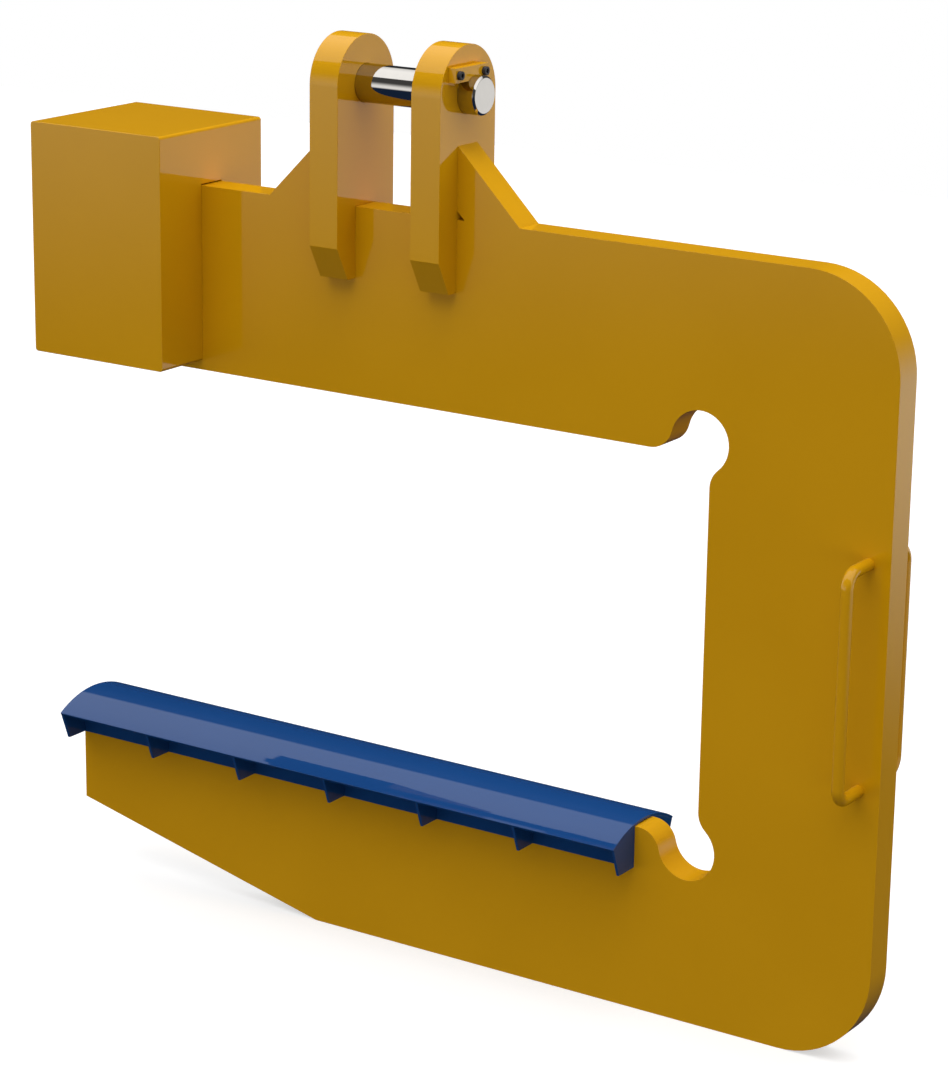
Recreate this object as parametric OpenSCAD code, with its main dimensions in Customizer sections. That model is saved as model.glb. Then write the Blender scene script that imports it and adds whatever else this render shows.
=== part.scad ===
// C-hook that carries a wound coil of strip by its eye.
// X runs from the arm tips (left) to the leg (right), Y across the plate with the front at -Y, Z up.
// The origin is the middle of the lifting pin, midway between the ears, where the crane's hook takes hold.

/* [Hook plate] */
// Thickness of the hook plate
plate_t = 70; // [40:1:120]
// Depth of the throat, from the arm tips to the leg
throat_len = 1600; // [1400:10:2200]
// Height of the throat between the two arms
throat_h = 800; // [700:10:1200]
// Width of the leg
leg_w = 400; // [340:5:500]
// Height of the upper arm
upper_arm_h = 400; // [340:5:500]
// Height of the lower arm at the leg
lower_arm_h = 400; // [360:5:500]
// Radius of the two outer corners of the leg
outer_corner_r = 200; // [100:5:300]
// Height of the end face of the lower arm
nose_h = 250; // [180:5:320]
// Length of the taper under the lower arm
nose_len = 650; // [400:10:900]
// Radius of the round relief in each throat corner
relief_r = 65; // [50:1:80]
// How far the relief's centre lies inside the arm and out from the leg
relief_in = 25; // [15:1:35]
// Radius that blends the relief into the arm and the leg
relief_blend_r = 50; // [30:1:70]
// Height of the hump beside each ear, which slopes down at 45 degrees
hump_h = 150; // [80:5:200]

/* [Ears] */
// Distance from the arm tips to the pin, which sets how level the empty hook hangs
pin_from_tip = 840; // [740:5:900]
// Height of the pin above the upper arm
pin_rise = 250; // [200:5:320]
// Thickness of each ear
ear_t = 70; // [50:1:100]
// Gap between the ears for the crane's hook
ear_gap = 180; // [140:5:240]
// Width of each ear, which is also the diameter of its round top
ear_w = 200; // [180:5:260]
// How far an ear keeps its full width below the top of the arm
ear_skirt = 80; // [40:5:120]
// Length of the tapered end of an ear's legs
ear_taper = 120; // [60:5:160]

/* [Lifting pin] */
// Diameter of the pin
pin_d = 80; // [60:1:100]
// Radial clearance of the pin in its bores
pin_fit = 0.05; // [0.02:0.01:0.1]
// Length of pin outside the right ear
pin_nose = 40; // [34:1:60]
// Length of pin outside the left ear
pin_tail = 10; // [6:1:30]
// Chamfer on both ends of the pin
pin_chamfer = 4; // [1:0.5:6]

/* [Keeper] */
// Thickness of the keeper plate
keeper_t = 18; // [12:1:22]
// Height of the keeper plate
keeper_h = 30; // [26:1:40]
// Distance between the keeper's two screws
keeper_pitch = 90; // [86:1:110]
// Distance from each screw to the end of the keeper
keeper_edge = 12; // [10:1:20]
// How far the keeper's middle is set forward of the pin
keeper_shift = 15.5; // [10:0.5:20]
// Depth of the keeper's hold in the pin
keeper_bite = 10; // [6:1:14]
// Clearance on each side of the keeper in the pin's slot
slot_gap = 0.5; // [0.2:0.1:1]
// Thread diameter of the keeper screws
screw_d = 12; // [8:1:14]
// Head diameter of the keeper screws
screw_head_d = 18; // [14:1:20]
// Head height of the keeper screws
screw_head_h = 8; // [5:1:10]
// Width across the flats of the socket in each head
screw_socket = 8; // [5:1:10]
// Length of each screw in the ear
screw_grip = 24; // [16:1:30]
// Radial clearance of the screws in the keeper
screw_clear = 0.5; // [0.3:0.1:1]
// Radial clearance of the screws in the ear
screw_fit = 0.05; // [0.02:0.01:0.1]
// Depth of each screw hole beyond the end of its screw
screw_run_out = 6; // [2:1:12]

/* [Counterweight] */
// Length of the counterweight along the arm
weight_len = 350; // [200:10:450]
// Width of the counterweight across the arm
weight_w = 350; // [250:10:450]
// Height of the counterweight above the top of the arm
weight_over = 120; // [60:10:250]
// How far the arm stands out below the counterweight
weight_lift = 20; // [10:1:40]
// Radius on the edges of the counterweight
weight_edge_r = 6; // [3:1:12]

/* [Coil saddle] */
// Outer radius of the rolled saddle shell
saddle_r = 225; // [180:1:250]
// Half the width of the shell, to the edge of each lip
saddle_half_w = 120; // [100:1:130]
// Thickness of the shell
shell_t = 6; // [4:1:10]
// Thickness of the two skirts against the arm
skirt_t = 6; // [4:1:10]
// Height of the skirts
skirt_h = 90; // [60:1:120]
// Thickness of each rib
rib_t = 6; // [4:1:12]
// Distance of a rib's lower tip from the middle of the arm
rib_reach = 95; // [80:1:100]
// Number of ribs on each side
rib_count = 7; // [3:1:9]
// Distance from the end of the shell to the rounding of the throat corner
saddle_end_gap = 8; // [4:1:40]

/* [Handles] */
// Diameter of the handle bar
handle_d = 25; // [20:1:32]
// Distance from the plate to the middle of the grip
handle_reach = 87.5; // [75:0.5:120]
// Distance between the two feet of a handle
handle_span = 460; // [300:10:600]
// Bend radius of the bar, to its middle
handle_bend_r = 30; // [20:1:50]
// Distance from the outer edge of the leg to the middle of the bar
handle_in = 47; // [25:1:100]
// Height of the handle's middle above the bottom of the plate
handle_mid = 814; // [700:1:1000]

/* [Hidden] */

// Facets of a full circle in previews
arc_fn = 96;
// How far a cutting tool runs past the faces it cuts
cut_over = 5;
// The two faces of the plate
front = -1;
back = 1;

half_t = plate_t / 2;

// Heights of the plate's edges below and above the pin
arm_top_z = -pin_rise;
throat_top_z = arm_top_z - upper_arm_h;
throat_bottom_z = throat_top_z - throat_h;
plate_bottom_z = throat_bottom_z - lower_arm_h;

// Places along the plate, from the arm tips to the outer edge of the leg
tip_x = -pin_from_tip;
leg_in_x = tip_x + throat_len;
leg_out_x = leg_in_x + leg_w;

// How far the relief's round runs into each blend's round, so that the two always meet
relief_lap = 0.01;
blend_reach = relief_r + relief_blend_r - relief_lap;
arm_blend_run = sqrt(pow(blend_reach, 2) - pow(relief_blend_r - relief_in, 2));
leg_blend_run = sqrt(pow(blend_reach, 2) - pow(relief_blend_r + relief_in, 2));

// Faces of the ears
ear_in_x = ear_gap / 2;
ear_out_x = ear_in_x + ear_t;

// Height and ends of the keeper
keeper_z = pin_d / 2 - keeper_bite;
screw_z = keeper_z + keeper_h / 2;
screw_y = [-keeper_shift - keeper_pitch / 2, -keeper_shift + keeper_pitch / 2];

// The rolled shell rests on the two top edges of the arm, and its heights are taken from there
shell_in_r = saddle_r - shell_t;
shell_drop = sqrt(pow(shell_in_r, 2) - pow(half_t, 2));
lip_angle = asin(saddle_half_w / saddle_r);
lip_y = shell_in_r * sin(lip_angle);
lip_z = shell_in_r * cos(lip_angle) - shell_drop;
saddle_len = throat_len - relief_in - arm_blend_run - saddle_end_gap;
skirt_y = half_t + skirt_t;
rib_step = (saddle_len - rib_t) / (rib_count - 1);

paint_yellow = [0.85, 0.60, 0.08];
paint_blue = [0.10, 0.28, 0.52];
bright_steel = [0.80, 0.81, 0.83];
dark_steel = [0.27, 0.27, 0.29];

// Extrudes a front view drawn in X and Z through a thickness centred on the plate
module across(thickness) {
  rotate([90, 0, 0])
    linear_extrude(thickness, center = true)
      children();
}

// Extrudes a cross-section drawn in Y and Z along X
module along(x, length) {
  translate([x, 0, 0])
    rotate([90, 0, 90])
      linear_extrude(length)
        children();
}

// Removes the square corner at one corner of the leg and leaves the round
module outer_corner_cut(edge_z, up) {
  translate([leg_out_x - outer_corner_r, edge_z - up * outer_corner_r])
    difference() {
      translate([0, up > 0 ? 0 : -outer_corner_r - cut_over])
        square([outer_corner_r + cut_over, outer_corner_r + cut_over]);
      circle(r = outer_corner_r, $fn = arc_fn);
    }
}

// Round relief in one throat corner, with a round blend into the arm and into the leg.
// The arm's edge lies at edge_z, and the arm itself on the side that into points to.
module corner_relief(edge_z, into) {
  relief = [-relief_in, into * relief_in];
  arm_blend = [-relief_in - arm_blend_run, into * relief_blend_r];
  leg_blend = [relief_blend_r, into * (relief_in - leg_blend_run)];
  translate([leg_in_x, edge_z]) {
    translate(relief)
      circle(r = relief_r, $fn = arc_fn);
    difference() {
      polygon([
        [arm_blend[0], 0],
        arm_blend,
        relief,
        leg_blend,
        [0, leg_blend[1]],
        [arm_blend[0], leg_blend[1]]
      ]);
      for (blend = [arm_blend, leg_blend])
        translate(blend)
          circle(r = relief_blend_r, $fn = arc_fn);
    }
  }
}

// Front view of the whole hook plate
module plate_outline() {
  difference() {
    polygon([
      [tip_x, throat_bottom_z - nose_h],
      [tip_x, arm_top_z],
      [-ear_out_x - hump_h, arm_top_z],
      [-ear_out_x, arm_top_z + hump_h],
      [-ear_out_x, arm_top_z],
      [ear_out_x, arm_top_z],
      [ear_out_x, arm_top_z + hump_h],
      [ear_out_x + hump_h, arm_top_z],
      [leg_out_x, arm_top_z],
      [leg_out_x, plate_bottom_z],
      [tip_x + nose_len, plate_bottom_z]
    ]);
    translate([tip_x - cut_over, throat_bottom_z])
      square([throat_len + cut_over, throat_h]);
    corner_relief(throat_top_z, 1);
    corner_relief(throat_bottom_z, -1);
    outer_corner_cut(arm_top_z, 1);
    outer_corner_cut(plate_bottom_z, -1);
  }
}

module c_plate() {
  color(paint_yellow)
    across(plate_t)
      plate_outline();
}

// Cross-section of an ear: round top, slot over the arm, two legs with tapered ends
module ear_outline() {
  leg_z = arm_top_z - ear_skirt;
  end_z = leg_z - ear_taper;
  difference() {
    union() {
      circle(r = ear_w / 2, $fn = arc_fn);
      polygon([
        [-ear_w / 2, 0],
        [-ear_w / 2, leg_z],
        [-half_t, end_z],
        [half_t, end_z],
        [ear_w / 2, leg_z],
        [ear_w / 2, 0]
      ]);
    }
    translate([-half_t, end_z - cut_over])
      square([plate_t, arm_top_z - end_z + cut_over]);
    circle(r = pin_d / 2 + pin_fit, $fn = arc_fn);
  }
}

module left_ear() {
  color(paint_yellow)
    along(-ear_out_x, ear_t)
      ear_outline();
}

module right_ear() {
  hole_depth = screw_grip + screw_run_out;
  color(paint_yellow)
    difference() {
      along(ear_in_x, ear_t)
        ear_outline();
      for (y = screw_y)
        translate([ear_out_x - hole_depth, y, screw_z])
          rotate([0, 90, 0])
            cylinder(r = screw_d / 2 + screw_fit, h = hole_depth + cut_over, $fn = arc_fn);
    }
}

// Rectangle with round corners, centred
module round_rect(w, h, r) {
  square([w - 2 * r, h], center = true);
  square([w, h - 2 * r], center = true);
  for (x = [r - w / 2, w / 2 - r])
    for (y = [r - h / 2, h / 2 - r])
      translate([x, y])
        circle(r = r, $fn = arc_fn);
}

// Block with all its long edges rounded, slotted from below so that it sits astride the arm
module counterweight() {
  bottom_z = throat_top_z + weight_lift;
  weight_h = arm_top_z + weight_over - bottom_z;
  color(paint_yellow)
    difference() {
      translate([tip_x + weight_len / 2, 0, bottom_z + weight_h / 2])
        intersection() {
          linear_extrude(weight_h, center = true)
            round_rect(weight_len, weight_w, weight_edge_r);
          across(weight_w)
            round_rect(weight_len, weight_h, weight_edge_r);
          along(-weight_len / 2, weight_len)
            round_rect(weight_w, weight_h, weight_edge_r);
        }
      translate([tip_x - cut_over, -half_t, bottom_z - cut_over])
        cube([weight_len + 2 * cut_over, plate_t, arm_top_z - bottom_z + cut_over]);
    }
}

// Turned bar along X with a flat slot across its top for the keeper
module lifting_pin() {
  start_x = -ear_out_x - pin_tail;
  end_x = ear_out_x + pin_nose;
  pin_r = pin_d / 2;
  end_r = pin_r - pin_chamfer;
  color(bright_steel)
    difference() {
      rotate([0, 90, 0])
        rotate_extrude($fn = arc_fn)
          polygon([
            [0, start_x],
            [end_r, start_x],
            [pin_r, start_x + pin_chamfer],
            [pin_r, end_x - pin_chamfer],
            [end_r, end_x],
            [0, end_x]
          ]);
      translate([ear_out_x - slot_gap, -pin_r, keeper_z - slot_gap])
        cube([keeper_t + 2 * slot_gap, pin_d, keeper_bite + slot_gap + cut_over]);
    }
}

module keeper_plate() {
  length = keeper_pitch + 2 * keeper_edge;
  color(paint_yellow)
    difference() {
      translate([ear_out_x, -keeper_shift - length / 2, keeper_z])
        cube([keeper_t, length, keeper_h]);
      for (y = screw_y)
        translate([ear_out_x - cut_over, y, screw_z])
          rotate([0, 90, 0])
            cylinder(r = screw_d / 2 + screw_clear, h = keeper_t + 2 * cut_over, $fn = arc_fn);
    }
}

// Low-head cap screws with a six-sided socket
module keeper_screws() {
  socket_r = screw_socket / 2 / cos(30);
  socket_depth = screw_head_h / 2;
  color(dark_steel)
    for (y = screw_y)
      translate([ear_out_x + keeper_t, y, screw_z])
        rotate([0, 90, 0])
          difference() {
            union() {
              cylinder(d = screw_head_d, h = screw_head_h, $fn = arc_fn);
              translate([0, 0, -keeper_t - screw_grip])
                cylinder(d = screw_d, h = keeper_t + screw_grip, $fn = arc_fn);
            }
            translate([0, 0, screw_head_h - socket_depth])
              cylinder(r = socket_r, h = socket_depth + cut_over, $fn = 6);
          }
}

// Extrudes a cross-section of the saddle, drawn from the top of the arm, from a place along the saddle
module along_saddle(x, length) {
  along(tip_x + x, length)
    translate([0, throat_bottom_z])
      children();
}

// Rolled plate, a ring cut off square to its surface at both lips
module saddle_shell() {
  wedge_r = 2 * saddle_r;
  color(paint_blue)
    along_saddle(0, saddle_len)
      translate([0, -shell_drop])
        intersection() {
          difference() {
            circle(r = saddle_r, $fn = 2 * arc_fn);
            circle(r = shell_in_r, $fn = 2 * arc_fn);
          }
          polygon([
            [0, 0],
            [wedge_r * sin(lip_angle), wedge_r * cos(lip_angle)],
            [-wedge_r * sin(lip_angle), wedge_r * cos(lip_angle)]
          ]);
        }
}

// Trims a cross-section to the underside of the shell
module under_shell(points) {
  intersection() {
    polygon(points);
    translate([0, -shell_drop])
      circle(r = shell_in_r, $fn = 2 * arc_fn);
  }
}

// Flat plate against one face of the lower arm, up to the underside of the shell
module saddle_skirt(side) {
  color(paint_blue)
    along_saddle(0, saddle_len)
      under_shell([
        [side * half_t, -skirt_h],
        [side * skirt_y, -skirt_h],
        [side * skirt_y, cut_over],
        [side * half_t, cut_over]
      ]);
}

// Rib between a skirt and the lip of the shell, counted from the arm tips.
// Its outer edge is drawn some way past the lip, where the shell's underside trims it.
module saddle_rib(count, side) {
  past_lip = 1.2;
  outer_y = rib_reach + past_lip * (lip_y - rib_reach);
  outer_z = -skirt_h + past_lip * (lip_z + skirt_h);
  color(paint_blue)
    along_saddle((count - 1) * rib_step, rib_t)
      under_shell([
        [side * skirt_y, -skirt_h],
        [side * rib_reach, -skirt_h],
        [side * outer_y, outer_z],
        [side * outer_y, cut_over],
        [side * skirt_y, cut_over]
      ]);
}

// Round bar bent twice, with its feet on one face of the leg
module handle(side) {
  bar_x = leg_out_x - handle_in;
  mid_z = plate_bottom_z + handle_mid;
  foot_len = handle_reach - handle_bend_r;
  grip_len = handle_span - 2 * handle_bend_r;
  face_turn = side == front ? 180 : 0;
  color(paint_yellow)
    translate([bar_x, 0, mid_z])
      rotate([0, 0, face_turn]) {
        translate([0, half_t + handle_reach, -grip_len / 2])
          cylinder(d = handle_d, h = grip_len, $fn = arc_fn);
        for (end_turn = [0, 180])
          rotate([0, end_turn, 0]) {
            translate([0, half_t, -handle_span / 2])
              rotate([-90, 0, 0])
                cylinder(d = handle_d, h = foot_len, $fn = arc_fn);
            translate([0, half_t + foot_len, -grip_len / 2])
              rotate([0, 90, 0])
                rotate_extrude(angle = 90, $fn = arc_fn)
                  translate([handle_bend_r, 0])
                    circle(d = handle_d, $fn = arc_fn);
          }
      }
}

c_plate();
left_ear();
right_ear();
counterweight();
lifting_pin();
keeper_plate();
keeper_screws();
saddle_shell();
saddle_skirt(front);  // saddle_skirt_front
saddle_skirt(back);  // saddle_skirt_back
for (i = [1 : rib_count]) saddle_rib(i, front);
for (i = [1 : rib_count]) saddle_rib(i, back);
handle(front);  // handle_front
handle(back);  // handle_back
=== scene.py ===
# %% [markdown]
# # A C-hook for wound coils
# The hook hangs from a crane by its pin and carries a coil of strip on the blue saddle of its lower arm.
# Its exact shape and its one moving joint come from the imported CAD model. This lesson dresses that model:
# it sets up a camera and a plain studio, mixes the finishes, rounds the edges as grinding and paint do, and
# builds the pieces that repeat with Geometry Nodes. All lengths are in metres, and the origin is the middle
# of the lifting pin.

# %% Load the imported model
from math import cos, pi, radians, sin, sqrt

import bmesh
import bpy
from mathutils import Matrix, Vector


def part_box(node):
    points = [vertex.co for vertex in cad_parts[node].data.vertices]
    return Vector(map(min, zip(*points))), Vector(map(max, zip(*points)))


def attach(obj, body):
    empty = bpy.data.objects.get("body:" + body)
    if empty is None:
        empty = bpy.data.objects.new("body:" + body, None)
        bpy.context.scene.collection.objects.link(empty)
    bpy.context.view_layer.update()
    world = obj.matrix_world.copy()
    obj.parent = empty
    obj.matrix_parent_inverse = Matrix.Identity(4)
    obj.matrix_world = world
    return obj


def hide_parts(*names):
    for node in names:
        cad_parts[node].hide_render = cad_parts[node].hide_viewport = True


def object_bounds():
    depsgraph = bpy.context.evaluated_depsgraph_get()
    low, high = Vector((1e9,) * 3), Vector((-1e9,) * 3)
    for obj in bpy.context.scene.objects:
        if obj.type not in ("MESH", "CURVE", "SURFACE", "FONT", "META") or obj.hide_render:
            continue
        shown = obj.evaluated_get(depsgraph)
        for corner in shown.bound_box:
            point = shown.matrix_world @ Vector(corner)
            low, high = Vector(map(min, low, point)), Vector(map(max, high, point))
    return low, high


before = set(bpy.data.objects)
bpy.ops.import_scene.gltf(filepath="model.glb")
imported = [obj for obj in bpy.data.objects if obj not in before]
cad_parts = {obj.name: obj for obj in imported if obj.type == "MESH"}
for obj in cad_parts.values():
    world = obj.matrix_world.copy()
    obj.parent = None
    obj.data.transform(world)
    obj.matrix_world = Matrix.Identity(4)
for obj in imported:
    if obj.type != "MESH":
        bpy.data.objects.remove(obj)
cad_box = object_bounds()
mm = 0.001
scene = bpy.context.scene

# %% [markdown]
# ## The camera
# A camera is placed by where it stands and by three directions: to its right, upwards and backwards. Here
# they come from two angles round the object and a small roll, because those are what one reads off a
# picture: how far round to the right of the front the viewer stands, how high above the horizon, and how
# level the camera is held. A long lens from nearly seven metres away keeps the plate's edges almost
# parallel.

# %% Place the camera
def new_object(name, data):
    """An object with this camera, lamp or mesh, put in the scene."""
    obj = bpy.data.objects.new(name, data)
    scene.collection.objects.link(obj)
    return obj


view_round = radians(33.247)
view_up = radians(16.086)
view_roll = radians(0.821)
camera_place = (3.80827, -5.52102, 0.97842)
picture_h = 1082
focal_px = 3316.15
film_h = 36

backward = Vector((sin(view_round) * cos(view_up), -cos(view_round) * cos(view_up), sin(view_up)))
level_right = Vector((cos(view_round), sin(view_round), 0))
level_up = level_right.cross(-backward)
right = cos(view_roll) * level_right + sin(view_roll) * level_up
up = cos(view_roll) * level_up - sin(view_roll) * level_right
turn = Matrix((right, up, backward)).transposed().to_4x4()

camera_data = bpy.data.cameras.new("camera")
camera_data.sensor_fit = "VERTICAL"
camera_data.sensor_height = film_h
camera_data.lens = film_h * focal_px / picture_h
camera = new_object("camera", camera_data)
camera.matrix_world = Matrix.Translation(camera_place) @ turn
scene.camera = camera
print("Lens in mm:", round(camera_data.lens, 1))

# %% [markdown]
# ## The studio
# Glossy paint and a polished pin show their surroundings, so the surroundings are half of the picture. A
# real studio for such work has a wide white ceiling panel, a pale band round it and dark room elsewhere,
# which gives paint its depth and metal its crisp bands. Lamps could stand in for the panels, but a world
# shader that works by direction is smoother and has no edges to hide. It starts with the direction that is
# looked in, and with sums on it.

# %% Start the world
def math_node(tree, operation, first, second=0.0):
    """A Math node. Each input is a number or another node's socket."""
    node = tree.nodes.new("ShaderNodeMath")
    node.operation = operation
    for socket, value in zip(node.inputs, (first, second)):
        if isinstance(value, bpy.types.NodeSocket):
            tree.links.new(value, socket)
        else:
            socket.default_value = value
    return node.outputs[0]


world = bpy.data.worlds.new("studio")
scene.world = world
world.use_nodes = True
sky = world.node_tree
sky.nodes.clear()
direction = sky.nodes.new("ShaderNodeTexCoord").outputs["Generated"]
split = sky.nodes.new("ShaderNodeSeparateXYZ")
sky.links.new(direction, split.inputs[0])
dir_x, dir_y, dir_z = split.outputs


def product(first, second):
    """Multiplies two values."""
    return math_node(sky, "MULTIPLY", first, second)


def rest_of(share):
    """What a share leaves of one."""
    return math_node(sky, "SUBTRACT", 1.0, share)


def weighed_sum(parts):
    """Adds up values, each times its weight."""
    total = 0.0
    for value, weight in parts:
        total = math_node(sky, "ADD", product(value, weight), total)
    return total


print("World started:", world.name)

# %% [markdown]
# The ceiling panel is the brightest thing that gloss shows. Its back and front edges lie where a direction
# runs out a set number of times its height, so the panel hangs level and reaches from wall to wall. A
# smooth step across each edge keeps it as soft as a lit sheet of cloth.

# %% Hang the ceiling panel
def ramp_node(tree, value, start, end, low=0.0, high=1.0):
    """Turns a value into low up to start, high from end on, and a smooth step between."""
    node = tree.nodes.new("ShaderNodeMapRange")
    node.interpolation_type = "SMOOTHSTEP"
    for name, number in (("From Min", start), ("From Max", end), ("To Min", low), ("To Max", high)):
        node.inputs[name].default_value = number
    tree.links.new(value, node.inputs["Value"])
    return node.outputs["Result"]


panel_back = 1.08
panel_front = 0.90
back_edge = (0.02, 0.10)
front_edge = (0.0, 0.03)
inside_back = weighed_sum(((dir_z, panel_back), (dir_y, -1)))
inside_front = weighed_sum(((dir_z, panel_front), (dir_y, 1)))
ceiling = product(ramp_node(sky, inside_back, *back_edge), ramp_node(sky, inside_front, *front_edge))
print("Panel reach over height:", panel_back, "to the back,", panel_front, "to the front")

# %% [markdown]
# A pale band runs round the room at eye level. It hangs lower behind the leg than in front of the arms. It
# leaves out two corners: the one behind the nose, where a black curtain keeps the tops of the plates free
# of glare, and the one where the photographer stands.

# %% Run the band round the room
def band_between(foot, top):
    """A band round the room that comes in over the foot's heights and goes out over the top's."""
    return product(ramp_node(sky, dir_z, *foot), ramp_node(sky, dir_z, *top, low=1, high=0))


def towards(x, y):
    """How far a direction goes towards a corner of the room, from about -1 to 1."""
    return weighed_sum(((dir_x, x), (dir_y, y)))


behind_leg = (0.56, 0.83)
behind_nose = (-0.56, 0.83)
by_camera = (0.71, -0.71)
front_band = band_between(foot=(-0.235, -0.105), top=(-0.05, 0.33))
back_band = band_between(foot=(-0.35, -0.225), top=(-0.25, 0.23))
at_back = ramp_node(sky, towards(*behind_leg), start=-0.4, end=0.3)
curtain = ramp_node(sky, towards(*behind_nose), start=0.80, end=0.95)
off_camera = ramp_node(sky, towards(*by_camera), start=0.6, end=0.85, low=1, high=0)
both_bands = math_node(sky, "ADD", product(front_band, rest_of(at_back)), product(back_band, at_back))
band = product(both_bands, product(rest_of(curtain), off_camera))
print("Nodes for the room so far:", len(sky.nodes))

# %% [markdown]
# Now the room gets its colours. It is a dark blue below the horizon and grey above it, and nearly black
# behind the curtain. The band is white, and so is the panel, which gets a little dimmer towards its back
# edge.

# %% Colour the room
def colour_mix(tree, factor, first, second):
    """Mixes two colours. Each is a tuple or a socket."""
    node = tree.nodes.new("ShaderNodeMix")
    node.data_type = "RGBA"
    tree.links.new(factor, node.inputs["Factor"])
    for socket, value in zip((node.inputs[6], node.inputs[7]), (first, second)):
        if isinstance(value, bpy.types.NodeSocket):
            tree.links.new(value, socket)
        else:
            socket.default_value = (*value, 1)
    return node.outputs[2]


room_below = (0.012, 0.026, 0.064)
room_above = (0.085, 0.085, 0.085)
behind_curtain = (0.014, 0.016, 0.022)
band_white = (1.35, 1.35, 1.35)
panel_dim = (1.08, 1.08, 1.08)
panel_full = (1.66, 1.66, 1.66)
horizon = (-0.2, 0.0)
panel_fade = (0.0, 0.75)
room = colour_mix(sky, ramp_node(sky, dir_z, *horizon), room_below, room_above)
room = colour_mix(sky, curtain, room, behind_curtain)
with_band = colour_mix(sky, band, room, band_white)
panel = colour_mix(sky, ramp_node(sky, inside_back, *panel_fade), panel_dim, panel_full)
seen_in_gloss = colour_mix(sky, ceiling, with_band, panel)
print("Panel brightness from", panel_dim[0], "to", panel_full[0])

# %% [markdown]
# Under its clear coat the paint is matt. It doesn't mirror the panel but gathers light from half the room,
# so the world can give it a few wide, soft lights of its own: most of it from high in front, some from
# behind and from the sides, and a glow all round at eye level, which reaches the faces that look down.

# %% Light the matt layers
def facing(light_direction, sharpness):
    """How nearly a direction is the given one, from 0 to 1. A higher sharpness makes a smaller spot."""
    dot = sky.nodes.new("ShaderNodeVectorMath")
    dot.operation = "DOT_PRODUCT"
    sky.links.new(direction, dot.inputs[0])
    dot.inputs[1].default_value = Vector(light_direction).normalized()
    return math_node(sky, "POWER", math_node(sky, "MAXIMUM", dot.outputs["Value"], 0), sharpness)


# Where each soft light comes from, its sharpness and its strength
soft_lights = {
    "high in front": ((0, -1, 2), 8, 2.92),
    "up behind": ((0, 1, 1), 3, 1.57),
    "high on the right": ((1, 0, 2), 8, 0.45),
    "up on the left": ((-1, 0, 1), 3, 0.36),
}
glow_height = -0.12
glow_spread = 0.25
glow_strength = 1.72
off_level = math_node(sky, "ABSOLUTE", math_node(sky, "SUBTRACT", dir_z, glow_height))
glow = ramp_node(sky, off_level, start=0.0, end=glow_spread, low=1, high=0)
spots = [
    (facing(comes_from, sharpness), strength)
    for comes_from, sharpness, strength in soft_lights.values()
]
felt = weighed_sum(spots + [(glow, glow_strength)])
print("Soft lights:", ", ".join(soft_lights), "and a glow at eye level")

# %% [markdown]
# The world gives three answers: plain white to the camera, the room with its panel and band to reflections,
# and the soft lights to everything else. Light Path tells which kind of ray is asking, and two Mix Shaders
# choose.

# %% Join the three answers
def join(tree, *pairs):
    """Links an output socket to an input socket, for each pair."""
    for out_socket, in_socket in pairs:
        tree.links.new(out_socket, in_socket)


light_path = sky.nodes.new("ShaderNodeLightPath")
lighting = sky.nodes.new("ShaderNodeBackground")
mirrored = sky.nodes.new("ShaderNodeBackground")
backdrop = sky.nodes.new("ShaderNodeBackground")
backdrop.inputs["Color"].default_value = (1, 1, 1, 1)
backdrop.inputs["Strength"].default_value = 1
pick_gloss = sky.nodes.new("ShaderNodeMixShader")
pick_camera = sky.nodes.new("ShaderNodeMixShader")
world_out = sky.nodes.new("ShaderNodeOutputWorld")
join(
    sky,
    (felt, lighting.inputs["Color"]),
    (seen_in_gloss, mirrored.inputs["Color"]),
    (light_path.outputs["Is Glossy Ray"], pick_gloss.inputs[0]),
    (lighting.outputs[0], pick_gloss.inputs[1]),
    (mirrored.outputs[0], pick_gloss.inputs[2]),
    (light_path.outputs["Is Camera Ray"], pick_camera.inputs[0]),
    (pick_gloss.outputs[0], pick_camera.inputs[1]),
    (backdrop.outputs[0], pick_camera.inputs[2]),
    (pick_camera.outputs[0], world_out.inputs["Surface"]),
)
scene.view_settings.view_transform = "Standard"
print("World nodes:", len(sky.nodes))

# %% [markdown]
# A world is endlessly far away, so it lights the left and the right of the hook alike. A real ceiling panel
# does not: the sides that look towards its middle get more light than those that look away from it. So one
# soft lamp hangs over the upper arm. It is kept out of reflections, because the world already shows the
# panel there.

# %% Hang the lamp
lamp_light = bpy.data.lights.new("ceiling_lamp", "AREA")
lamp_light.shape = "RECTANGLE"
lamp_light.size = 1.0
lamp_light.size_y = 1.2
lamp_light.energy = 9.6
lamp = new_object("ceiling_lamp", lamp_light)
lamp.location = (0.5, 0.0, 1.9)
lamp.visible_glossy = False
lamp.visible_camera = False
print("Lamp over the hook:", lamp_light.energy, "W")

# %% [markdown]
# ## The floor
# The hook stands on the straight edge under its lower arm, as it does when it is parked. The floor is a
# wide, flat sheet at that height. It is kept out of reflections and throws no light back, because the
# undersides of the real hook are dark.

# %% Lay the floor
floor_reach = 9
floor_z = cad_box[0][2]
corner_signs = ((-1, -1), (1, -1), (1, 1), (-1, 1))
floor_corners = [(x * floor_reach, y * floor_reach, floor_z) for x, y in corner_signs]
floor_mesh = bpy.data.meshes.new("floor")
floor_mesh.from_pydata(floor_corners, [], [(0, 1, 2, 3)])
floor = new_object("floor", floor_mesh)
floor.visible_glossy = False
floor.visible_diffuse = False
print("Floor at height", round(floor_z, 3))

# %% [markdown]
# The floor is pale and fades into the white backdrop: to the camera it gives off a little light of its own,
# just enough to turn white where nothing shades it. So the shadow round the hook stays, and the edge of the
# floor doesn't show.

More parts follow.
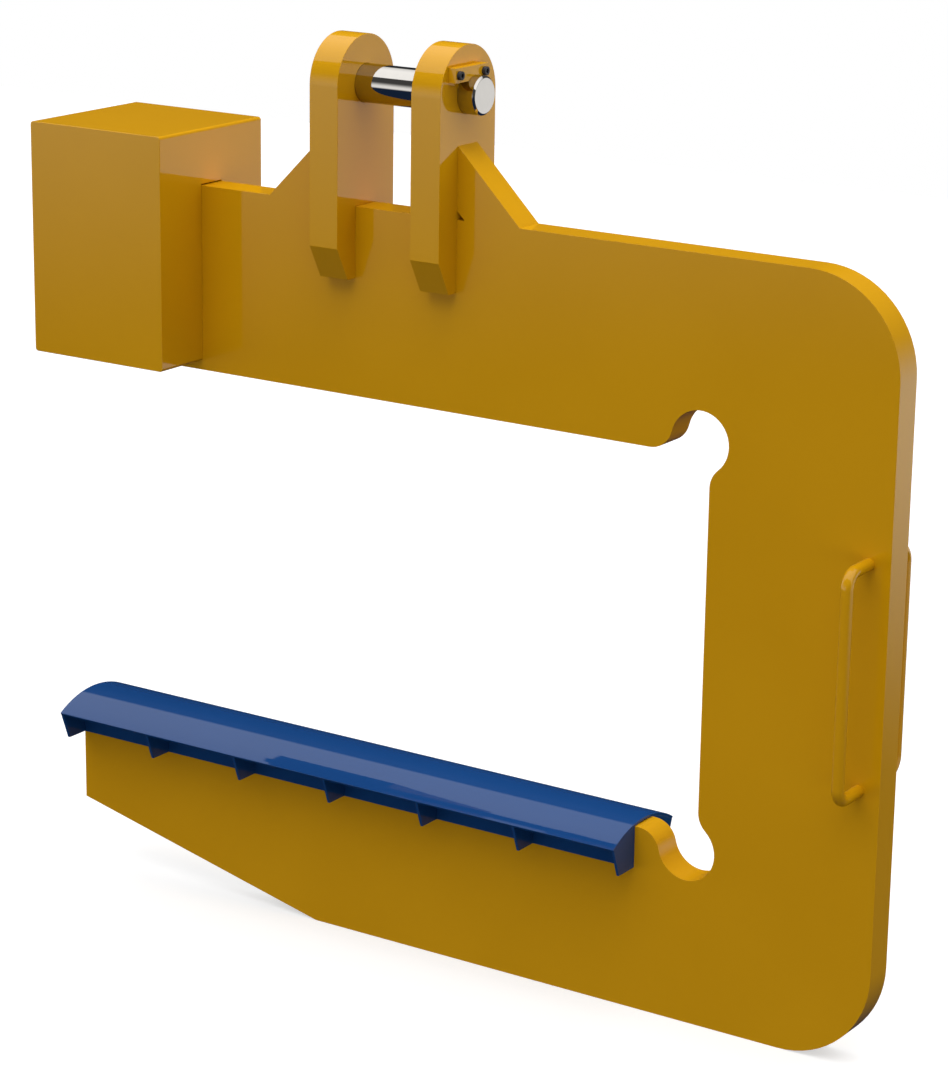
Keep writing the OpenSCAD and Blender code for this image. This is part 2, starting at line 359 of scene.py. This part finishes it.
# %% Paint the floor
floor_grey = 0.55
floor_lift = 0.60
floor_finish = bpy.data.materials.new("pale_floor")
floor_finish.use_nodes = True
floor_tree = floor_finish.node_tree
floor_tree.nodes.clear()
pale = floor_tree.nodes.new("ShaderNodeBsdfDiffuse")
pale.inputs["Color"].default_value = (floor_grey, floor_grey, floor_grey, 1)
lift = floor_tree.nodes.new("ShaderNodeEmission")
seen = floor_tree.nodes.new("ShaderNodeLightPath").outputs["Is Camera Ray"]
both = floor_tree.nodes.new("ShaderNodeAddShader")
floor_out = floor_tree.nodes.new("ShaderNodeOutputMaterial")
join(
    floor_tree,
    (math_node(floor_tree, "MULTIPLY", seen, floor_lift), lift.inputs["Strength"]),
    (pale.outputs[0], both.inputs[0]),
    (lift.outputs[0], both.inputs[1]),
    (both.outputs[0], floor_out.inputs["Surface"]),
)
floor_mesh.materials.append(floor_finish)
print("Floor paint:", floor_finish.name)

# %% [markdown]
# ## The finishes
# The hook is sprayed with a hard, glossy two-part paint: yellow on the plates and blue on the saddle. Such
# paint is a coloured layer under a clear, smooth one, and the Principled shader's coat is made for that. Up
# close it is never quite even: the colour drifts a little across a big plate, and the surface has the fine
# dimples called orange peel. Both come from noise on Object coordinates, so they stay put from every side
# and go with the model when it leaves.

# %% Mix the gloss paints
def set_inputs(node, values):
    """Sets a node's sockets from a dict of their names."""
    for name, value in values.items():
        node.inputs[name].default_value = value
    return node


# Most of a noise's values lie between these two
noise_span = (0.3, 0.7)


def noise_node(tree, coordinates, scale, detail):
    """Noise with features of about 1 / scale metres."""
    node = set_inputs(tree.nodes.new("ShaderNodeTexNoise"), {"Scale": scale, "Detail": detail})
    tree.links.new(coordinates, node.inputs["Vector"])
    return node.outputs[0]


def bump_node(tree, height, strength, distance):
    """Tilts the surface as if it had these heights, without moving it."""
    node = set_inputs(tree.nodes.new("ShaderNodeBump"), {"Strength": strength, "Distance": distance})
    tree.links.new(height, node.inputs["Height"])
    return node.outputs[0]


def new_finish(name):
    """A material with its Principled shader, and the Object coordinates that its patterns read."""
    finish = bpy.data.materials.new(name)
    finish.use_nodes = True
    tree = finish.node_tree
    shader = tree.nodes["Principled BSDF"]
    coordinates = tree.nodes.new("ShaderNodeTexCoord").outputs["Object"]
    return finish, tree, shader, coordinates


def gloss_paint(name, thin, thick):
    """Sprayed paint. The colour drifts between a thin and a thick coat of it."""
    finish, tree, shader, coordinates = new_finish(name)
    drift = noise_node(tree, coordinates, scale=2.2, detail=3)
    patches = noise_node(tree, coordinates, scale=14, detail=4)
    dimples = noise_node(tree, coordinates, scale=420, detail=1)
    orange_peel = bump_node(tree, dimples, strength=0.05, distance=0.0002)
    join(
        tree,
        (colour_mix(tree, ramp_node(tree, drift, *noise_span), thin, thick), shader.inputs["Base Color"]),
        (ramp_node(tree, patches, *noise_span, low=0.46, high=0.54), shader.inputs["Roughness"]),
        (orange_peel, shader.inputs["Normal"]),
        (orange_peel, shader.inputs["Coat Normal"]),
    )
    clear_layer = {"Coat Weight": 0.78, "Coat Roughness": 0.03, "Coat IOR": 1.5}
    set_inputs(shader, {"Specular IOR Level": 0.0, **clear_layer})
    return finish


yellow_gloss = gloss_paint("yellow_gloss", thin=(0.715, 0.356, 0.0045), thick=(0.685, 0.338, 0.0035))
blue_gloss = gloss_paint("blue_gloss", thin=(0.0092, 0.0625, 0.230), thick=(0.0086, 0.0590, 0.218))
print("Paints:", yellow_gloss.name, blue_gloss.name)

# %% [markdown]
# The pin is turned, ground and polished, so it mirrors the room but keeps hair-fine rings round its axis,
# which runs along X. A Wave texture in bands along X makes the rings, and a soft noise stands for where it
# has been wiped.

# %% Polish the pin
def polished_steel(name, bright, worn):
    """Bright steel with faint turning rings round the X axis."""
    finish, tree, shader, coordinates = new_finish(name)
    rings = tree.nodes.new("ShaderNodeTexWave")
    rings.bands_direction = "X"
    set_inputs(rings, {"Scale": 260, "Distortion": 1.5, "Detail": 2, "Detail Scale": 3})
    tree.links.new(coordinates, rings.inputs["Vector"])
    grooves = bump_node(tree, rings.outputs["Fac"], strength=0.02, distance=0.00005)
    wiped = noise_node(tree, coordinates, scale=30, detail=4)
    wear = ramp_node(tree, wiped, start=0.3, end=0.8)
    haze = ramp_node(tree, wiped, start=0.35, end=0.75, low=0.03, high=0.08)
    join(
        tree,
        (colour_mix(tree, wear, bright, worn), shader.inputs["Base Color"]),
        (haze, shader.inputs["Roughness"]),
        (grooves, shader.inputs["Normal"]),
    )
    set_inputs(shader, {"Metallic": 1.0})
    return finish


pin_polish = polished_steel("pin_polish", bright=(0.525, 0.505, 0.475), worn=(0.505, 0.487, 0.460))
print("Polish:", pin_polish.name)

# %% [markdown]
# The keeper's screws are blackened steel. The finish is a thin layer in the steel's own skin, so it stays a
# little metallic, is darker in the pores and brighter where it has been handled.

# %% Blacken the screws
def blackened_steel(name, pore, rubbed):
    """Dark steel. Its colour goes from that of the pores to that of the rubbed places."""
    finish, tree, shader, coordinates = new_finish(name)
    grain = noise_node(tree, coordinates, scale=900, detail=3)
    rub = ramp_node(tree, grain, start=0.35, end=0.7)
    join(
        tree,
        (colour_mix(tree, rub, pore, rubbed), shader.inputs["Base Color"]),
        (ramp_node(tree, grain, *noise_span, low=0.38, high=0.55), shader.inputs["Roughness"]),
        (bump_node(tree, grain, strength=0.15, distance=0.0001), shader.inputs["Normal"]),
    )
    set_inputs(shader, {"Metallic": 0.35})
    return finish


screw_black = blackened_steel("screw_black", pore=(0.026, 0.025, 0.029), rubbed=(0.050, 0.048, 0.055))
print("Blackening:", screw_black.name)

# %% [markdown]
# ## The plate's mouse holes
# The plate has a small three-sided hole on each side, where the slope beside an ear meets the arm: a
# fabricator leaves such a mouse hole so that the weld round the ear can run through the corner. A hole
# could be drawn into the plate's outline, but the plate comes ready from the CAD model. A Boolean modifier
# takes one shape out of another, so all it needs is a cutter: two bars with three sides, longer than the
# plate is thick.

# %% Shape the cutter for the mouse holes
X_AXIS, Y_AXIS = 0, 1
plate_half = 35 * mm
hump_h = 150 * mm
mouse_hole = 18.5 * mm
overrun = 2 * mm
ear_side_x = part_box("right_ear")[1][0]
arm_crown_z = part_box("c_plate")[1][2] - hump_h


def add_bar(bm, outline, ends, axis):
    """A closed bar between two places on an axis. Its outline is pairs of the two other coordinates."""
    loops = []
    for end in ends:
        places = [[*pair[:axis], end, *pair[axis:]] for pair in outline]
        loops.append([bm.verts.new(place) for place in places])
    bm.faces.new(loops[0][::-1])
    bm.faces.new(loops[1])
    for i in range(len(outline)):
        j = (i + 1) % len(outline)
        bm.faces.new((loops[0][i], loops[0][j], loops[1][j], loops[1][i]))
    bmesh.ops.recalc_face_normals(bm, faces=bm.faces)


def finished_mesh(bm, name, smooth=True):
    """Turns the drawn faces into a mesh and clears the drawing board."""
    for face in bm.faces:
        face.smooth = smooth
    mesh = bpy.data.meshes.new(name)
    bm.to_mesh(mesh)
    bm.free()
    return mesh


bm = bmesh.new()
for turn_out in (-1, 1):
    corner = [
        (turn_out * (ear_side_x - overrun), arm_crown_z),
        (turn_out * (ear_side_x + mouse_hole), arm_crown_z),
        (turn_out * (ear_side_x - overrun), arm_crown_z + mouse_hole + overrun),
    ]
    add_bar(bm, corner, (-plate_half - overrun, plate_half + overrun), Y_AXIS)
cutter = new_object("mouse_holes", finished_mesh(bm, "mouse_holes", smooth=False))
print("Mouse holes at height", round(arm_crown_z, 3), "and", round(ear_side_x, 3), "to each side")

# %% [markdown]
# ## Softened edges
# Every plate is cut square and then ground by hand, so no edge is knife-sharp: paint would not stay on it.
# A small rounding on each edge is what catches the light and makes a model look solid. The CAD pieces have
# the exact shape but sharp edges, and their meshes are loose triangles. So each one is copied, its
# triangles are joined up and merged into flat faces, and a Bevel rounds what is left as an edge. Weighted
# normals then keep the flat faces flat. The big plate comes first, and the cutter goes through it on the
# way.

# %% Soften the big plate
weld_gap = 1e-6
flat_enough = radians(0.3)
clear_edge = radians(28)
plate_edge_r = 1.2 * mm


def plain_mesh(obj, name):
    """The object's mesh with its modifiers applied, as a new object without any."""
    bpy.context.view_layer.update()
    evaluated = obj.evaluated_get(bpy.context.evaluated_depsgraph_get())
    mesh = bpy.data.meshes.new_from_object(evaluated)
    mesh.name = name
    result = new_object(name, mesh)
    bpy.data.objects.remove(obj)
    return result


def round_edges(mesh, name, edge_r, cutter=None):
    """An object with its clear edges rounded and its flat faces kept flat. A cutter goes in first."""
    draft = new_object(name + "_draft", mesh)
    if cutter:
        cut = draft.modifiers.new("cut", "BOOLEAN")
        cut.operation = "DIFFERENCE"
        cut.solver = "EXACT"
        cut.object = cutter
    rounding = draft.modifiers.new("rounding", "BEVEL")
    rounding.width = edge_r
    rounding.segments = 2
    rounding.limit_method = "ANGLE"
    rounding.angle_limit = clear_edge
    rounding.use_clamp_overlap = True
    flat = draft.modifiers.new("flat_faces", "WEIGHTED_NORMAL")
    flat.keep_sharp = True
    return plain_mesh(draft, name)


def stand_in(piece, body, slot, *nodes):
    """Puts a piece on its body, in place of CAD nodes. Its slot argument is not used."""
    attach(piece, body)
    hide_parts(*nodes)
    triangles = sum(len(face.vertices) - 2 for face in piece.data.polygons)
    print(piece.name, "rides on", body, "with triangles:", triangles)


def soften(node, name, finish, slot, body, edge_r, reshape=None, cutter=None):
    """Puts a copy of a CAD node with rounded edges in its place. It may be reshaped or cut before that."""
    bm = bmesh.new()
    bm.from_mesh(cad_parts[node].data)
    bmesh.ops.remove_doubles(bm, verts=bm.verts, dist=weld_gap)
    if reshape:
        reshape(bm)
    bmesh.ops.dissolve_limit(bm, angle_limit=flat_enough, verts=bm.verts, edges=bm.edges)
    mesh = finished_mesh(bm, name)
    mesh.materials.append(finish)
    stand_in(round_edges(mesh, name, edge_r, cutter), body, slot, node)


soften("c_plate", "hook_plate", yellow_gloss, "yellow_paint", "hook_frame", plate_edge_r, cutter=cutter)
bpy.data.objects.remove(cutter)

# %% [markdown]
# ## The ears
# The two ears straddle the upper arm and carry the pin. Their legs end level on the arm, 150 mm below its
# top, and not in a thin wedge as in the CAD model. A Boolean could cut them, but for one flat cut Bisect is
# simpler: it cuts the copy's mesh with a plane and drops what lies below it, and the open rims are filled
# again.

# %% Soften the ears
ear_foot_z = -400 * mm
ear_edge_r = 1.0 * mm


def level_foot(bm):
    """Cuts off what hangs below the ears' feet and closes the cut."""
    cut = bmesh.ops.bisect_plane(
        bm,
        geom=bm.verts[:] + bm.edges[:] + bm.faces[:],
        plane_co=(0, 0, ear_foot_z),
        plane_no=(0, 0, -1),
        clear_outer=True,
    )
    rims = [item for item in cut["geom_cut"] if isinstance(item, bmesh.types.BMEdge)]
    bmesh.ops.edgeloop_fill(bm, edges=rims)
    bmesh.ops.recalc_face_normals(bm, faces=bm.faces)


for side in ("left", "right"):
    soften(f"{side}_ear", f"ear_{side}", yellow_gloss, "yellow_paint", "hook_frame", ear_edge_r, level_foot)

# %% [markdown]
# ## The pin, its keeper and the saddle's sheets
# The keeper is cut from flat bar, the pin is turned with a chamfer, and the saddle is a rolled sheet with a
# flat skirt on each side. The same softening suits them all. What changes is how much is ground off: more
# on a thick bar, less on a thin sheet, and least on the pin, which has to slide.

# %% Soften the small pieces
keeper_edge_r = 0.8 * mm
pin_edge_r = 0.6 * mm
sheet_edge_r = 0.7 * mm

soften("keeper_plate", "keeper", yellow_gloss, "yellow_paint", "pin", keeper_edge_r)
soften("lifting_pin", "pin_bar", pin_polish, "polished_pin", "pin", pin_edge_r)
soften("saddle_shell", "saddle_top", blue_gloss, "blue_paint", "hook_frame", sheet_edge_r)
for side in ("front", "back"):
    soften(f"saddle_skirt_{side}", f"skirt_{side}", blue_gloss, "blue_paint", "hook_frame", sheet_edge_r)

# %% [markdown]
# ## The counterweight
# The block at the end of the upper arm brings the pin over the middle of the load. Seen from the front, it
# is a tall rectangle with well-rounded corners, and the edges of its front and back faces are only broken.
# A slot from below sets it astride the arm, with a little room over the arm's top edge, which shows as a
# thin dark line. The CAD block has one radius all round, so this one is built anew from its section across
# the arm.

# %% Build the counterweight
weight_low, weight_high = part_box("counterweight")
front_y, back_y = weight_low[1], weight_high[1]
foot_z, crown_z = weight_low[2], weight_high[2]
slot_room = 2 * mm
slot_top = arm_crown_z + slot_room
corner_r = 7 * mm
broken_edge = 1.5 * mm

section = [
    (front_y, foot_z),
    (-plate_half, foot_z),
    (-plate_half, slot_top),
    (plate_half, slot_top),
    (plate_half, foot_z),
    (back_y, foot_z),
    (back_y, crown_z),
    (front_y, crown_z),
]


def is_outline_corner(edge):
    """True for the block's edges that run from its front to its back, at its top and at its foot."""
    first, last = (v.co for v in edge.verts)
    front_to_back = abs(first.x - last.x) < mm and abs(first.z - last.z) < mm
    return front_to_back and abs(first.z - slot_top) > mm


bm = bmesh.new()
add_bar(bm, section, (weight_low[0], weight_high[0]), X_AXIS)
corners = [edge for edge in bm.edges if is_outline_corner(edge)]
bmesh.ops.bevel(bm, geom=corners, offset=corner_r, segments=6, profile=0.5, affect="EDGES")
weight_mesh = finished_mesh(bm, "counterweight_block")
weight_mesh.materials.append(yellow_gloss)
weight = round_edges(weight_mesh, "counterweight_block", broken_edge)
stand_in(weight, "hook_frame", "yellow_paint", "counterweight")
print("Counterweight corners rounded:", len(corners))

# %% [markdown]
# ## A tree for rows
# Ribs and screws repeat in a straight row. Copies made by hand would have to be made again for another
# length of saddle. In Geometry Nodes a Mesh Line gives the places and Instance on Points sets a copy on
# each, and the number and the spacing are inputs of the tree. Realize Instances at the end turns the copies
# into real mesh.

# %% Build the row tree
def new_tree(name, inputs):
    """A tree with a geometry input and named sizes. Returns it with its input and output nodes."""
    tree = bpy.data.node_groups.new(name, "GeometryNodeTree")
    tree.interface.new_socket("Geometry", in_out="INPUT", socket_type="NodeSocketGeometry")
    for label, kind in inputs:
        tree.interface.new_socket(label, in_out="INPUT", socket_type="NodeSocket" + kind)
    tree.interface.new_socket("Geometry", in_out="OUTPUT", socket_type="NodeSocketGeometry")
    return tree, tree.nodes.new("NodeGroupInput"), tree.nodes.new("NodeGroupOutput")


def row_tree(name):
    """Repeats the geometry in a row: how many, the first place and the step from each to the next."""
    inputs = (("Count", "Int"), ("First", "Vector"), ("Step", "Vector"), ("Finish", "Material"))
    tree, source, result = new_tree(name, inputs)
    row = tree.nodes.new("GeometryNodeMeshLine")
    row.mode = "OFFSET"
    place = tree.nodes.new("GeometryNodeInstanceOnPoints")
    real = tree.nodes.new("GeometryNodeRealizeInstances")
    finish = tree.nodes.new("GeometryNodeSetMaterial")
    join(
        tree,
        (source.outputs["Count"], row.inputs["Count"]),
        (source.outputs["First"], row.inputs["Start Location"]),
        (source.outputs["Step"], row.inputs["Offset"]),
        (row.outputs["Mesh"], place.inputs["Points"]),
        (source.outputs["Geometry"], place.inputs["Instance"]),
        (place.outputs["Instances"], real.inputs["Geometry"]),
        (real.outputs["Geometry"], finish.inputs["Geometry"]),
        (source.outputs["Finish"], finish.inputs["Material"]),
        (finish.outputs["Geometry"], result.inputs["Geometry"]),
    )
    return tree


straight_row = row_tree("straight_row")
print("Row tree nodes:", len(straight_row.nodes))

# %% [markdown]
# ## Ribs under the saddle
# Seven ribs on each side hold up the lips of the rolled shell. Each is a flat plate with one curved side,
# trimmed to the shell's underside. One pair is drawn, the row tree repeats it along the arm, and the edges
# are softened last.

# %% Make the ribs
def run_tree(tree, mesh, name, values):
    """Runs a tree on a mesh with these input values and returns the result as a plain mesh object."""
    draft = new_object(name + "_draft", mesh)
    modifier = draft.modifiers.new(tree.name, "NODES")
    modifier.node_group = tree
    for item in tree.interface.items_tree:
        if item.in_out == "INPUT" and item.name in values:
            modifier[item.identifier] = values[item.name]
    return plain_mesh(draft, name)


rib_count = 7
rib_low, rib_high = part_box("saddle_rib_back_1")
last_rib_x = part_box(f"saddle_rib_back_{rib_count}")[0][0]
rib_t = rib_high[0] - rib_low[0]
rib_step = (last_rib_x - rib_low[0]) / (rib_count - 1)
skirt_out_y, lip_y = rib_low[1], rib_high[1]
rib_foot_z = rib_low[2]
rib_foot_y = 95 * mm
skirt_h = 90 * mm
shell_in_r = 219 * mm
arm_top_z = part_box("saddle_skirt_front")[0][2] + skirt_h
shell_mid_z = arm_top_z - sqrt(shell_in_r**2 - plate_half**2)
arc_steps = 16

arc_y = [skirt_out_y + (lip_y - skirt_out_y) * i / arc_steps for i in range(arc_steps + 1)]
under_shell = [(y, shell_mid_z + sqrt(shell_in_r**2 - y**2)) for y in reversed(arc_y)]
back_rib = [(skirt_out_y, rib_foot_z), (rib_foot_y, rib_foot_z)] + under_shell
front_rib = [(-y, z) for y, z in reversed(back_rib)]
bm = bmesh.new()
for outline in (back_rib, front_rib):
    add_bar(bm, outline, (0, rib_t), X_AXIS)
rib_row = {
    "Count": rib_count,
    "First": (rib_low[0], 0, 0),
    "Step": (rib_step, 0, 0),
    "Finish": blue_gloss,
}
square_ribs = run_tree(straight_row, finished_mesh(bm, "rib_pair"), "square_ribs", rib_row)
ribs = round_edges(square_ribs.data, "saddle_ribs", sheet_edge_r)
bpy.data.objects.remove(square_ribs)
rib_nodes = [f"saddle_rib_{side}_{i}" for side in ("front", "back") for i in range(1, rib_count + 1)]
stand_in(ribs, "hook_frame", "blue_paint", *rib_nodes)

# %% [markdown]
# ## Keeper screws
# Two low cap screws hold the keeper, which sits in the pin's slot and stops it from sliding and turning. A
# turned part is a stack of rings, and that holds for a six-sided socket too, if its ring has its corners at
# the right turns. So one function draws a ring, round or with flats, and another joins a stack of them into
# a solid.

# %% Turn one screw
ring_points = 48
crease = radians(35)


def ring(x, radius, flats=0):
    """Points round the X axis. With flats it has that many, each at the radius from the middle."""
    points = []
    for i in range(ring_points):
        angle = 2 * pi * i / ring_points
        r = radius
        if flats:
            side = 2 * pi / flats
            r = radius / cos((angle % side) - side / 2)
        points.append((x, r * cos(angle), r * sin(angle)))
    return points


def ring_solid(name, rings):
    """A closed solid through a list of rings, with a point closing each end."""
    bm = bmesh.new()
    loops = [[bm.verts.new(p) for p in points] for points in rings]
    for low, high in zip(loops, loops[1:]):
        for i in range(ring_points):
            j = (i + 1) % ring_points
            bm.faces.new((low[i], low[j], high[j], high[i]))
    for loop in (loops[0], loops[-1]):
        middle = bm.verts.new(sum((v.co for v in loop), Vector()) / ring_points)
        for i in range(ring_points):
            bm.faces.new((loop[i], loop[(i + 1) % ring_points], middle))
    bmesh.ops.recalc_face_normals(bm, faces=bm.faces)
    for edge in bm.edges:
        edge.smooth = edge.calc_face_angle(0) < crease
    return finished_mesh(bm, name)


screw_low, screw_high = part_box("keeper_screws")
tip_x, head_x = screw_low[0], screw_high[0]
seat_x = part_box("keeper_plate")[1][0]
head_r = (screw_high[2] - screw_low[2]) / 2
head_edge = 0.8 * mm
seat_edge = 0.3 * mm
shank_r = 6 * mm
thread_chamfer = 1 * mm
tip_hollow = 1.5 * mm
hollow_floor_r = 0.2 * mm
hollow_rim_r = 0.4 * shank_r
socket_flats = 6
socket_r = 4 * mm
socket_chamfer = 0.4 * mm
socket_floor_x = head_x - 4 * mm
drill_point = 0.8 * mm
drill_tip_r = 0.5 * mm
arc_middle = 0.3 * head_edge
screw = ring_solid(
    "screw",
    [
        ring(tip_x + tip_hollow, hollow_floor_r),
        ring(tip_x, hollow_rim_r),
        ring(tip_x, shank_r - thread_chamfer),
        ring(tip_x + thread_chamfer, shank_r),
        ring(seat_x, shank_r),
        ring(seat_x, head_r - seat_edge),
        ring(seat_x + seat_edge, head_r),
        ring(head_x - head_edge, head_r),
        ring(head_x - arc_middle, head_r - arc_middle),
        ring(head_x, head_r - head_edge),
        ring(head_x, socket_r / cos(pi / socket_flats) + socket_chamfer),
        ring(head_x - socket_chamfer, socket_r, socket_flats),
        ring(socket_floor_x, socket_r, socket_flats),
        ring(socket_floor_x - drill_point, drill_tip_r),
    ],
)
print("Screw head across:", round(2 * head_r / mm, 1), "mm, faces:", len(screw.polygons))

# %% [markdown]
# Both screws are the same, so the row tree that set the ribs sets them too, one at each end of the keeper.
# They ride on the pin's body, because keeper and screws come out with the pin.

# %% Set the screws
screw_z = (screw_low[2] + screw_high[2]) / 2
first_y = screw_low[1] + head_r
screw_pitch = (screw_high[1] - head_r) - first_y
screw_row = {
    "Count": 2,
    "First": (0, first_y, screw_z),
    "Step": (0, screw_pitch, 0),
    "Finish": screw_black,
}
screws = run_tree(straight_row, screw, "cap_screws", screw_row)
stand_in(screws, "pin", "dark_screws", "keeper_screws")
print("Screws", round(screw_pitch / mm, 1), "mm apart")

# %% [markdown]
# ## The handles
# Each handle is one round bar with two bends. That is a path with a section, the plainest job there is for
# Geometry Nodes: a line through four points, Fillet Curve for the bends, and Curve to Mesh with a circle.
# The bar's and the bends' radii are the tree's inputs, so a thicker or a rounder handle is a matter of two
# numbers.

# %% Build the bar tree
bend_steps = 20
round_steps = 40


def bar_tree(name):
    """Sweeps a round bar along the curve through the mesh's edges, with its corners bent to a radius."""
    inputs = (("Bar Radius", "Float"), ("Bend Radius", "Float"), ("Finish", "Material"))
    tree, source, result = new_tree(name, inputs)
    path = tree.nodes.new("GeometryNodeMeshToCurve")
    bend = tree.nodes.new("GeometryNodeFilletCurve")
    circle = tree.nodes.new("GeometryNodeCurvePrimitiveCircle")
    sweep = tree.nodes.new("GeometryNodeCurveToMesh")
    merge = tree.nodes.new("GeometryNodeMergeByDistance")
    smooth = tree.nodes.new("GeometryNodeSetShadeSmooth")
    real = tree.nodes.new("GeometryNodeRealizeInstances")
    finish = tree.nodes.new("GeometryNodeSetMaterial")
    bend.mode = "POLY"
    bend.inputs["Count"].default_value = bend_steps
    circle.inputs["Resolution"].default_value = round_steps
    sweep.inputs["Fill Caps"].default_value = True
    merge.inputs["Distance"].default_value = weld_gap
    join(
        tree,
        (source.outputs["Geometry"], path.inputs["Mesh"]),
        (path.outputs["Curve"], bend.inputs["Curve"]),
        (source.outputs["Bend Radius"], bend.inputs["Radius"]),
        (source.outputs["Bar Radius"], circle.inputs["Radius"]),
        (bend.outputs["Curve"], sweep.inputs["Curve"]),
        (circle.outputs["Curve"], sweep.inputs["Profile Curve"]),
        (sweep.outputs["Mesh"], merge.inputs["Geometry"]),
        (merge.outputs["Geometry"], smooth.inputs["Geometry"]),
        (smooth.outputs["Geometry"], real.inputs["Geometry"]),
        (real.outputs["Geometry"], finish.inputs["Geometry"]),
        (source.outputs["Finish"], finish.inputs["Material"]),
        (finish.outputs["Geometry"], result.inputs["Geometry"]),
    )
    return tree


bent_bar = bar_tree("bent_bar")
print("Bar tree nodes:", len(bent_bar.nodes))

# %% [markdown]
# One handle is welded to each side of the leg, so that the hook can be swung by hand without touching the
# load. Their feet, reach and height come from the CAD boxes, and the four points of each path are worked
# out from those.

# %% Bend the handles
bar_r = 12.5 * mm
bend_r = 30 * mm
bar_sizes = {"Bar Radius": bar_r, "Bend Radius": bend_r, "Finish": yellow_gloss}
for side, turn_out in (("front", -1), ("back", 1)):
    low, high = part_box(f"handle_{side}")
    bar_x = (low[0] + high[0]) / 2
    foot_y = turn_out * plate_half
    grip_y = turn_out * (max(abs(low[1]), abs(high[1])) - bar_r)
    low_z, high_z = low[2] + bar_r, high[2] - bar_r
    path_sides = ((foot_y, low_z), (grip_y, low_z), (grip_y, high_z), (foot_y, high_z))
    path_points = [(bar_x, y, z) for y, z in path_sides]
    path_mesh = bpy.data.meshes.new(f"handle_path_{side}")
    path_mesh.from_pydata(path_points, [(0, 1), (1, 2), (2, 3)], [])
    handle = run_tree(bent_bar, path_mesh, f"grab_handle_{side}", bar_sizes)
    stand_in(handle, "hook_frame", "yellow_paint", f"handle_{side}")
